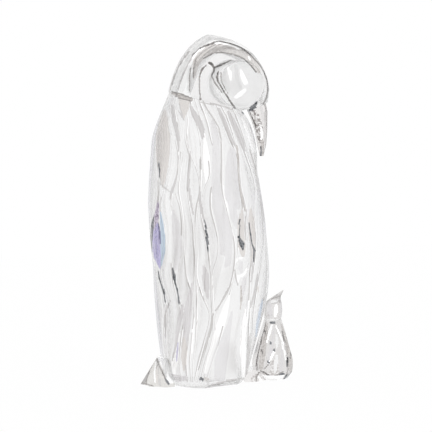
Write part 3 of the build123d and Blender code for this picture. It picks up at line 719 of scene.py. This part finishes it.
def camera_frame():
    """The photograph's camera: its place, the ways that are right, up and ahead, and its tilt."""
    settings = bpy.context.scene.figurine_stage
    turn = settings.camera_turn
    right = Vector((cos(turn), -sin(turn), 0))
    level = Vector((sin(turn), cos(turn), 0))
    aim_height = (BASE_PIXEL_Y - IMAGE_SIZE / 2) * MM_PER_PIXEL * MM
    aim = right * ((IMAGE_SIZE / 2 - BASE_PIXEL_X) * MM_PER_PIXEL * MM) + Vector((0, 0, aim_height))
    drop = settings.camera_height - aim_height
    tilt = atan2(drop, (settings.camera_distance ** 2 - drop ** 2) ** 0.5)
    ahead = level * cos(tilt) - Vector((0, 0, sin(tilt)))
    return aim - ahead * settings.camera_distance, right, right.cross(ahead), ahead, tilt


def seen_at(places):
    """The photograph's pixels where places on the figurine show."""
    eye, right, up, ahead = [np.array(way) for way in camera_frame()[:4]]
    zoom = bpy.context.scene.figurine_stage.camera_distance / (MM_PER_PIXEL * MM)
    away = places - eye
    depth = away @ ahead
    across = IMAGE_SIZE / 2 + zoom * (away @ right) / depth
    down = IMAGE_SIZE / 2 - zoom * (away @ up) / depth
    return np.stack([across, down], axis=1)


def under_stroke(pixels, stroke):
    """Which pixels lie under a stroke that widens and narrows from point to point."""
    under = np.zeros(len(pixels), bool)
    for (x0, y0, width0), (x1, y1, width1) in zip(stroke, stroke[1:]):
        run = np.array([x1 - x0, y1 - y0])
        along = np.clip((pixels - [x0, y0]) @ run / (run @ run), 0, 1)
        gap = np.linalg.norm(pixels - [x0, y0] - along[:, None] * run, axis=1)
        under |= gap < np.maximum((width0 + (width1 - width0) * along) / 2, FINEST_HALF_STROKE)
    return under


def draw_marks(piece, marks, base=None):
    """Lay a base tone over the near side, and on each of its faces that of the marks over it."""
    mesh = piece.data
    count = len(mesh.polygons)
    centres = np.empty(count * 3)
    normals = np.empty(count * 3)
    finish = np.empty(count, int)
    mesh.polygons.foreach_get("center", centres)
    mesh.polygons.foreach_get("normal", normals)
    mesh.polygons.foreach_get("material_index", finish)
    centres = centres.reshape(-1, 3)
    ways = np.array(camera_frame()[0]) - centres
    facing = np.sum(ways * normals.reshape(-1, 3), axis=1) / np.linalg.norm(ways, axis=1)
    pixels = seen_at(centres)
    names = [material.name for material in mesh.materials]

    def lay(tone, crossed):
        material = crystal(tone)
        if material.name not in names:
            names.append(material.name)
            mesh.materials.append(material)
        finish[crossed] = names.index(material.name)

    # The base tone, with the painted glow of the hood and the domes, goes only on the faces turned to the
    # camera
    if base:
        lay(base, facing > 0)
    for tone, *stroke in marks:
        lay(tone, (facing > GLANCING) & under_stroke(pixels, stroke))
    mesh.polygons.foreach_set("material_index", finish)
    mesh.update()


def hand_over(piece, node):
    """Let a finished piece stand for its solid."""
    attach(piece, "root")
    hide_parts(node)


class StageSettings(bpy.types.PropertyGroup):
    camera_turn: FloatProperty(
        name="Camera turn", description="How far the camera stands behind the profile",
        default=radians(15), unit="ROTATION")
    camera_distance: FloatProperty(
        name="Camera distance", description="From the camera to the figurine", default=0.957,
        unit="LENGTH")
    camera_height: FloatProperty(
        name="Camera height", description="Height of the camera above the table", default=0.193,
        unit="LENGTH")
    table_reach: FloatProperty(
        name="Table reach", description="From the figurine to the table's edge", default=0.42,
        unit="LENGTH")
    paper_colour: FloatVectorProperty(
        name="Paper colour", description="Colour of the table", default=linear("#FDFDFD"),
        subtype="COLOR", min=0, max=1)
    fold_colour: FloatVectorProperty(
        name="Fold colour", description="Colour of the tent's darkest folds", default=linear("#CCC9C8"),
        subtype="COLOR", min=0, max=1)


class CrystalSettings(bpy.types.PropertyGroup):
    ior: FloatProperty(
        name="Index", description="Refractive index of the crystal", default=1.56, min=1.0, max=2.0)
    ridge_turn: FloatProperty(
        name="Ridge turn", description="How far the photographed side is turned to the back",
        default=radians(13), unit="ROTATION")
    bevel_height: FloatProperty(
        name="Bevel height", description="Height of the bevel round the base", default=0.003,
        unit="LENGTH")
    bevel_inset: FloatProperty(
        name="Bevel inset", description="How far the bevel draws in the base", default=0.0022,
        unit="LENGTH")
    seat_lap: FloatProperty(
        name="Seat lap", description="How far the clear bond of a seat lets one piece into the other",
        default=0.00005, unit="LENGTH")
    cell: FloatProperty(
        name="Cell", description="Size of the patches that a facet's tones are laid in",
        default=0.0006, unit="LENGTH")
    chick_facets: IntProperty(
        name="Chick facets", description="Number of facets round the chick's body", default=10, min=3)


class FIGURINE_OT_stage(bpy.types.Operator):
    """Lay the white table, hang the studio's soft tent and set up the camera of the photograph"""
    bl_idname = "figurine.stage"
    bl_label = "Stage"

    def execute(self, context):
        settings = context.scene.figurine_stage
        scene = context.scene
        scene.view_settings.view_transform = "Standard"
        # Light is let through the crystal's many faces, or the deepest would turn black
        through, mirrored = 32, 24
        scene.cycles.max_bounces = through
        scene.cycles.transmission_bounces = through
        scene.cycles.glossy_bounces = mirrored
        eye, *_, tilt = camera_frame()
        sensor = 36
        camera = bpy.data.objects.new("camera", bpy.data.cameras.new("camera"))
        camera.location = eye
        camera.rotation_euler = (pi / 2 - tilt, 0, -settings.camera_turn)
        camera.data.sensor_width = sensor
        camera.data.lens = sensor * settings.camera_distance / (IMAGE_SIZE * MM_PER_PIXEL * MM)
        scene.collection.objects.link(camera)
        scene.camera = camera

        half = settings.table_reach
        mesh = bpy.data.meshes.new("table")
        corners = [(-half, -half, 0), (half, -half, 0), (half, half, 0), (-half, half, 0)]
        mesh.from_pydata(corners, [], [(0, 1, 2, 3)])
        table = bpy.data.objects.new("table", mesh)
        scene.collection.objects.link(table)
        mesh.materials.append(white_paper(settings.paper_colour))
        scene.world = studio_tent(settings.fold_colour)
        return {"FINISHED"}


def body_ring(height):
    """Corners of the body at a height: the near side from back to front, then the far side."""
    turn = bpy.context.scene.figurine_crystal.ridge_turn
    # Pixel rows run downwards, so they are turned to rise with the figurine
    row = height / MM_PER_PIXEL - BASE_PIXEL_Y
    rows = [-pixel for pixel in ROW_PIXELS]
    back = smooth_value(rows, BACK_PIXELS, row)
    front = smooth_value(rows, FRONT_PIXELS, row)
    places = [smooth_value(rows, ridge, row) for ridge in RIDGE_PIXELS]
    for i in range(1, len(places)):
        places[i] = max(places[i], places[i - 1] + NARROWEST_PIXELS)
    shares = [min(max((place - back) / (front - back), BACK_RIDGE_SHARE), 1) for place in places]
    half_depth = (front - back) / 2 * MM_PER_PIXEL
    middle = ((front + back) / 2 - BASE_PIXEL_X) * MM_PER_PIXEL
    half_width = BODY_WIDTH * smooth_value(rows, WIDTH_SHARES, row) / 2
    angles = [-(turn + acos(2 * share - 1)) for share in shares]
    angles += [-angle for angle in reversed(angles)]
    return [Vector((middle + half_depth * cos(a), half_width * sin(a), height)) for a in angles]


def neck_height(along):
    """Height of the slanting neck seat at a place along the figure."""
    return NECK_HEIGHT - along * tan(radians(NECK_SLOPE))


def feather_ridges(bevel):
    """Each ridge of the body as a line of points from the bevel up to the neck seat."""
    rise = (NECK_HEIGHT + RIDGE_OVERRUN - bevel) / FACET_STEPS
    rings = [body_ring(bevel + rise * i) for i in range(FACET_STEPS + 1)]
    ridges = []
    for line in zip(*rings):
        over = [p.z - neck_height(p.x) for p in line]
        cut = next(i for i, value in enumerate(over) if value > 0)
        part = over[cut - 1] / (over[cut - 1] - over[cut])
        length = cut - 1 + part
        ridge = []
        for i in range(FACET_STEPS):
            at = length * i / FACET_STEPS
            low = int(at)
            ridge.append(line[low].lerp(line[low + 1], at - low))
        ridge.append(line[cut - 1].lerp(line[cut], part))
        ridges.append(ridge)
    return ridges


def swell(widths, height, ridge):
    """A polished edge's width at a height, which waves between two widths along its ridge."""
    wave = 0.5 + 0.5 * sin(2 * pi * (height / EDGE_PERIOD + EDGE_LAG_SHARE * ridge))
    return widths[0] + (widths[1] - widths[0]) * wave


def facet_row(a, b, number, columns):
    """Points across a feather facet between two ridges, hollow between their polished edges."""
    chord = b - a
    width = chord.length
    fade = min(max(width / FULL_EDGE_WIDTH, FADED_EDGE_SHARE), 1)
    bright = min(swell(EDGE_BRIGHT, a.z, number) * fade, EDGE_BRIGHT_SHARE * width)
    dark = min(swell(EDGE_DARK, b.z, number + 1) * fade, EDGE_DARK_SHARE * width)
    first = a + chord * (bright / width)
    last = b - chord * (dark / width)
    out = turned_out(Vector((chord.y, -chord.x, 0)), Vector(((a.x + b.x) / 2, (a.y + b.y) / 2, 0)))
    return [
        first.lerp(last, j / columns) - out * (HOLLOW_SHARE * width * arch(j / columns))
        for j in range(columns + 1)
    ]


class FIGURINE_OT_adult_body(bpy.types.Operator):
    """Cut the adult's body in long feather facets between polished ridges"""
    bl_idname = "figurine.adult_body"
    bl_label = "Adult body"

    def execute(self, context):
        settings = context.scene.figurine_crystal
        bevel = settings.bevel_height / MM
        ridges = feather_ridges(bevel)
        count = len(ridges)
        points = [point for ridge in ridges for point in ridge]
        tones = ("clear", "plain", "line", "bright")
        faces, finish, sharp, rim, top = [], [], [], [], []
        for k in range(count):
            near = k < count // 2
            following = (k + 1) % count
            sides = list(zip(ridges[k], ridges[following]))
            columns = FEWEST_COLUMNS
            if near:
                widest = max((b - a).length for a, b in sides)
                columns = max(columns, round(widest * MM / settings.cell))
            rows = []
            for i, (a, b) in enumerate(sides):
                start = len(points)
                points += facet_row(a, b, k, columns)
                rows.append([
                    k * (FACET_STEPS + 1) + i, *range(start, len(points)),
                    following * (FACET_STEPS + 1) + i])
            # Across each facet: a painted highlight on its bright edge, the clear face, then painted shade
            # on its dark edge
            across = ["bright", *["clear" if near else "plain"] * columns, "line"]
            for low, high in zip(rows, rows[1:]):
                for j, tone in enumerate(across):
                    faces.append((low[j], low[j + 1], high[j + 1], high[j]))
                    finish.append(tones.index(tone))
                sharp += [(low[j], high[j]) for j in (0, 1, columns + 1)]
            rim += rows[0][:-1]
            top += rows[-1][:-1]

        middle = sum((points[v] for v in rim), Vector()) / len(rim)
        inset_share = settings.bevel_inset / MM / (BODY_WIDTH * WIDTH_SHARES[0] / 2)
        rings = [rim]
        for step in range(1, BEVEL_STEPS + 1):
            start = len(points)
            for v in rim:
                place = middle + (points[v] - middle) * (1 - inset_share * step / BEVEL_STEPS)
                place.z = bevel * (1 - step / BEVEL_STEPS)
                points.append(place)
            rings.append(list(range(start, len(points))))
            faces += band(rings[-1], rings[-2])
        base = rings[-1]
        faces += [tuple(reversed(base)), tuple(top)]
        finish += [tones.index("clear")] * (len(rim) * BEVEL_STEPS) + [tones.index("plain")] * 2
        sharp += ring_edges(rim) + ring_edges(top) + ring_edges(base)
        piece = mesh_piece("adult_body_cut", points, faces, tones, finish, sharp)
        draw_marks(piece, BODY_MARKS + NECK_MARKS)
        hand_over(piece, "adult_body")
        return {"FINISHED"}


def hood_ring(across, scale):
    """The hood's outline at a place across it, each stretch bulged outwards by its share."""
    centre_along, centre_up = HOOD_CENTRE_SHARES
    corners = [
        Vector((
            HEAD_BACK + HEAD_LENGTH * (centre_along + scale * (along - centre_along)),
            across,
            HEAD_BOTTOM + HEAD_HEIGHT * (centre_up + scale * (up - centre_up)),
        ))
        for along, up, _ in HOOD_OUTLINE_SHARES
    ]
    centre = sum(corners, Vector()) / len(corners)
    ring = []
    for (start, end), (*_, bulge) in zip(ring_edges(corners), HOOD_OUTLINE_SHARES):
        chord = end - start
        out = turned_out(Vector((chord.z, 0, -chord.x)), start + chord / 2 - centre)
        for j in range(HOOD_ARC_STEPS):
            t = j / HOOD_ARC_STEPS
            ring.append(start + chord * t + out * (chord.length * bulge * arch(t)))
    return ring


def cut_away(form, place, normal):
    """Cut off what lies beyond a plane and close the cut."""
    on_plane = 0.0000001
    geometry = form.verts[:] + form.edges[:] + form.faces[:]
    cut = bmesh.ops.bisect_plane(
        form, geom=geometry, plane_co=place, plane_no=normal, clear_outer=True, dist=on_plane)
    rim = [e for e in cut["geom_cut"] if isinstance(e, bmesh.types.BMEdge)]
    bmesh.ops.contextual_create(form, geom=rim)


def socket_rings(side):
    """Rings from the cheek's edge to its round socket, then down the socket's wall."""
    outline = hood_ring(side * CHEEK_PLACE, HOOD_RING_SHARES[0][1])
    centre = Vector((DOME_PLACE[0], side * CHEEK_PLACE, DOME_PLACE[1]))
    round_edge = [centre + (p - centre).normalized() * (DOME_RADIUS + SOCKET_GROOVE) for p in outline]
    rings = []
    for step in range(CHEEK_STEPS + 1):
        rings.append([a.lerp(b, step / CHEEK_STEPS) for a, b in zip(outline, round_edge)])
    rings.append([p - Vector((0, side * SOCKET_DEPTH, 0)) for p in round_edge])
    return rings


class FIGURINE_OT_adult_head(bpy.types.Operator):
    """Cut the adult's hood in bands round its flat cheeks, with a socket in each cheek"""
    bl_idname = "figurine.adult_head"
    bl_label = "Adult head"

    def execute(self, context):
        near = [hood_ring(-CHEEK_PLACE * across, scale) for across, scale in HOOD_RING_SHARES]
        far = [hood_ring(CHEEK_PLACE * across, scale) for across, scale in reversed(HOOD_RING_SHARES[:-1])]
        bands = near + far
        rings = list(reversed(socket_rings(-1)))
        for ring, following in zip(bands, bands[1:]):
            for step in range(1, HOOD_BAND_STEPS + 1):
                rings.append([a.lerp(b, step / HOOD_BAND_STEPS) for a, b in zip(ring, following)])
        rings += socket_rings(1)[1:]
        points = [p for ring in rings for p in ring]
        numbers, faces = stack(len(rings), len(rings[0]))
        faces += [tuple(numbers[0]), tuple(numbers[-1])]
        piece = mesh_piece("adult_head_cut", points, faces)
        form = bmesh.new()
        form.from_mesh(piece.data)
        lap = context.scene.figurine_crystal.seat_lap
        slope = radians(NECK_SLOPE)
        jaw = radians(JAW_SLOPE)
        seat = Vector((0, 0, neck_height(0) * MM - lap))
        jaw_seat = Vector((JAW_ROOT, 0, neck_height(JAW_ROOT))) * MM
        cut_away(form, seat, Vector((-sin(slope), 0, -cos(slope))))
        cut_away(form, jaw_seat, Vector((sin(jaw), 0, -cos(jaw))))
        form.to_mesh(piece.data)
        form.free()
        facing_outwards(piece.data)
        piece.data.set_sharp_from_angle(angle=radians(HOOD_CREASE))
        draw_marks(piece, HEAD_MARKS + DOME_GLINTS + NECK_MARKS, "hood")
        hand_over(piece, "adult_head")
        return {"FINISHED"}


class FIGURINE_OT_cheek_domes(bpy.types.Operator):
    """Turn the polished domes and seat them in the cheeks"""
    bl_idname = "figurine.cheek_domes"
    bl_label = "Cheek domes"

    def execute(self, context):
        edge = SOCKET_DEPTH + DOME_EDGE
        sphere_radius = (DOME_RADIUS ** 2 + DOME_CROWN ** 2) / (2 * DOME_CROWN)
        crown_turn = acos(1 - DOME_CROWN / sphere_radius)
        profile = [(DOME_RADIUS, 0), (DOME_RADIUS, edge / 2), (DOME_RADIUS, edge)]
        for step in range(1, DOME_STEPS):
            a = crown_turn * (1 - step / DOME_STEPS)
            profile.append((sphere_radius * sin(a), edge + DOME_CROWN - sphere_radius * (1 - cos(a))))
        turns = [2 * pi * i / DOME_SEGMENTS for i in range(DOME_SEGMENTS)]
        numbers, sides = stack(len(profile), DOME_SEGMENTS)
        pole = len(profile) * DOME_SEGMENTS
        faces = [tuple(numbers[0]), *sides, *[(a, b, pole) for a, b in ring_edges(numbers[-1])]]
        lap = context.scene.figurine_crystal.seat_lap / MM
        for side, name in ((-1, "right"), (1, "left")):
            floor = CHEEK_PLACE - SOCKET_DEPTH - lap
            centre = Vector((DOME_PLACE[0], side * floor, DOME_PLACE[1]))
            points = [
                centre + Vector((radius * cos(a), side * rise, radius * sin(a)))
                for radius, rise in profile for a in turns
            ]
            points.append(centre + Vector((0, side * (edge + DOME_CROWN), 0)))
            piece = mesh_piece(f"{name}_cheek_dome_polished", points, faces)
            piece.data.set_sharp_from_angle(angle=radians(DOME_CREASE))
            if side < 0:
                draw_marks(piece, HEAD_MARKS + DOME_MARKS + DOME_GLINTS, "dome")
            hand_over(piece, f"{name}_cheek_dome")
        return {"FINISHED"}


def dressed_copy(name, tone, marks):
    """A copy of a solid's mesh in cells fine enough to carry its marks."""
    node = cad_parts[name]
    piece = bpy.data.objects.new(f"{name}_cut", node.data.copy())
    bpy.context.scene.collection.objects.link(piece)
    form = bmesh.new()
    form.from_mesh(piece.data)
    form.transform(node.matrix_world)
    bmesh.ops.remove_doubles(form, verts=form.verts, dist=SEAM)
    cell = bpy.context.scene.figurine_crystal.cell
    while max(edge.calc_length() for edge in form.edges) > cell * COARSEST_SHARE:
        edges = [edge for edge in form.edges if edge.calc_length() > cell * HALVED_SHARE]
        bmesh.ops.subdivide_edges(form, edges=edges, cuts=1)
        bmesh.ops.triangulate(form, faces=form.faces)
    mesh = piece.data
    form.to_mesh(mesh)
    form.free()
    facing_outwards(mesh)
    mesh.materials.clear()
    mesh.materials.append(crystal("plain"))
    mesh.polygons.foreach_set("use_smooth", [True] * len(mesh.polygons))
    mesh.polygons.foreach_set("material_index", [0] * len(mesh.polygons))
    mesh.set_sharp_from_angle(angle=radians(FACET_CREASE))
    draw_marks(piece, marks, tone)
    hand_over(piece, name)


class FIGURINE_OT_adult_beak(bpy.types.Operator):
    """Cut the beak that hangs from the jaw"""
    bl_idname = "figurine.adult_beak"
    bl_label = "Adult beak"

    def execute(self, context):
        dressed_copy("adult_beak", "small", BEAK_MARKS)
        return {"FINISHED"}


class FIGURINE_OT_adult_tail(bpy.types.Operator):
    """Cut the fluted fan of the tail"""
    bl_idname = "figurine.adult_tail"
    bl_label = "Adult tail"

    def execute(self, context):
        dressed_copy("adult_tail", "tail", TAIL_MARKS)
        return {"FINISHED"}


class FIGURINE_OT_feet(bpy.types.Operator):
    """Cut the two crinkled feet between the base and the chick"""
    bl_idname = "figurine.feet"
    bl_label = "Feet"

    def execute(self, context):
        dressed_copy("right_foot", "small", FOOT_MARKS)
        dressed_copy("left_foot", "plain", ())
        return {"FINISHED"}


class FIGURINE_OT_chick_head(bpy.types.Operator):
    """Polish the chick's round head, which is in one piece with its beak"""
    bl_idname = "figurine.chick_head"
    bl_label = "Chick's head"

    def execute(self, context):
        dressed_copy("chick_head", "chick", CHICK_HEAD_MARKS)
        return {"FINISHED"}


def turned_facets():
    """A tree that turns one facet round an upright axis into a closed body.

    Inputs: the facet, its number round the axis, the axis's place and the crystal.
    """
    tree = bpy.data.node_groups.new("turned_facets", "GeometryNodeTree")
    ends = {"Facet": "Geometry", "Count": "Int", "Place": "Vector", "Crystal": "Material"}
    for name, kind in ends.items():
        tree.interface.new_socket(name, in_out="INPUT", socket_type=f"NodeSocket{kind}")
    tree.interface.new_socket("Body", in_out="OUTPUT", socket_type="NodeSocketGeometry")
    given = add(tree, "NodeGroupInput").outputs
    seam = 0.00002
    stations = add(tree, "GeometryNodePoints", Count=given["Count"])
    number = add(tree, "GeometryNodeInputIndex")
    turns = add(tree, "ShaderNodeMath", {"operation": "DIVIDE"}, i0=number.outputs[0], i1=given["Count"])
    angle = add(tree, "ShaderNodeMath", {"operation": "MULTIPLY"}, i0=turns.outputs[0], i1=2 * pi)
    turned = add(tree, "ShaderNodeCombineXYZ", Z=angle.outputs[0])
    ring = add(
        tree, "GeometryNodeInstanceOnPoints", Points=stations.outputs[0], Instance=given["Facet"],
        Rotation=turned.outputs[0])
    real = add(tree, "GeometryNodeRealizeInstances", Geometry=ring.outputs[0])
    closed = add(tree, "GeometryNodeMergeByDistance", Geometry=real.outputs[0], Distance=seam)
    placed = add(
        tree, "GeometryNodeTransform", Geometry=closed.outputs[0], Translation=given["Place"])
    cut = add(tree, "GeometryNodeSetMaterial", Geometry=placed.outputs[0], Material=given["Crystal"])
    add(tree, "NodeGroupOutput", Body=cut.outputs[0])
    return tree


class FIGURINE_OT_chick_body(bpy.types.Operator):
    """Cut the chick's body in flat facets round its pear shape"""
    bl_idname = "figurine.chick_body"
    bl_label = "Chick's body"

    def execute(self, context):
        count = context.scene.figurine_crystal.chick_facets
        heights, radii = zip(*CHICK_PROFILE)
        rise = (heights[-1] - heights[1]) / CHICK_STEPS
        levels = [(heights[0], radii[0])]
        for i in range(CHICK_STEPS + 1):
            height = heights[1] + rise * i
            levels.append((height, smooth_value(heights[1:], radii[1:], height)))
        points = []
        for height, radius in levels:
            for j in range(CHICK_COLUMNS + 1):
                across = radius * tan(pi / count) * (2 * j / CHICK_COLUMNS - 1)
                points.append((radius, across, height))
        row = CHICK_COLUMNS + 1
        faces = []
        for low in range(0, (len(levels) - 1) * row, row):
            for j in range(low, low + CHICK_COLUMNS):
                faces.append((j, j + 1, j + row + 1, j + row))
        for start, height in ((0, heights[0]), ((len(levels) - 1) * row, heights[-1])):
            points.append((0, 0, height))
            for j in range(start, start + CHICK_COLUMNS):
                faces.append((j, j + 1, len(points) - 1))
        piece = mesh_piece("chick_body_cut", points, faces)
        tree = turned_facets()
        turning = piece.modifiers.new("turning", "NODES")
        turning.node_group = tree
        values = {"Count": count, "Place": (CHICK_PLACE * MM, 0.0, 0.0), "Crystal": crystal("plain")}
        for item in tree.interface.items_tree:
            if item.name in values:
                turning[item.identifier] = values[item.name]
        settle(piece)
        facing_outwards(piece.data)
        piece.data.set_sharp_from_angle(angle=radians(FACET_CREASE))
        draw_marks(piece, CHICK_MARKS, "chick")
        hand_over(piece, "chick_body")
        return {"FINISHED"}


class FIGURINE_PT_panel(bpy.types.Panel):
    """The figurine's pieces in the sidebar"""
    bl_label = "Figurine"
    bl_idname = "FIGURINE_PT_panel"
    bl_space_type = "VIEW_3D"
    bl_region_type = "UI"
    bl_category = "Figurine"

    def draw(self, context):
        for operator in OPERATORS:
            self.layout.operator(operator.bl_idname)


OPERATORS = (
    FIGURINE_OT_stage, FIGURINE_OT_adult_body, FIGURINE_OT_adult_head, FIGURINE_OT_cheek_domes,
    FIGURINE_OT_adult_beak, FIGURINE_OT_adult_tail, FIGURINE_OT_feet, FIGURINE_OT_chick_body,
    FIGURINE_OT_chick_head)
CLASSES = (StageSettings, CrystalSettings) + OPERATORS + (FIGURINE_PT_panel,)


def register():
    for cls in CLASSES:
        bpy.utils.register_class(cls)
    bpy.types.Scene.figurine_stage = PointerProperty(type=StageSettings)
    bpy.types.Scene.figurine_crystal = PointerProperty(type=CrystalSettings)


def unregister():
    del bpy.types.Scene.figurine_stage
    del bpy.types.Scene.figurine_crystal
    for cls in reversed(CLASSES):
        bpy.utils.unregister_class(cls)


def main():
    register()
    for operator in OPERATORS:
        area, word = operator.bl_idname.split(".")
        getattr(getattr(bpy.ops, area), word)()


if __name__ == "__main__":
    main()
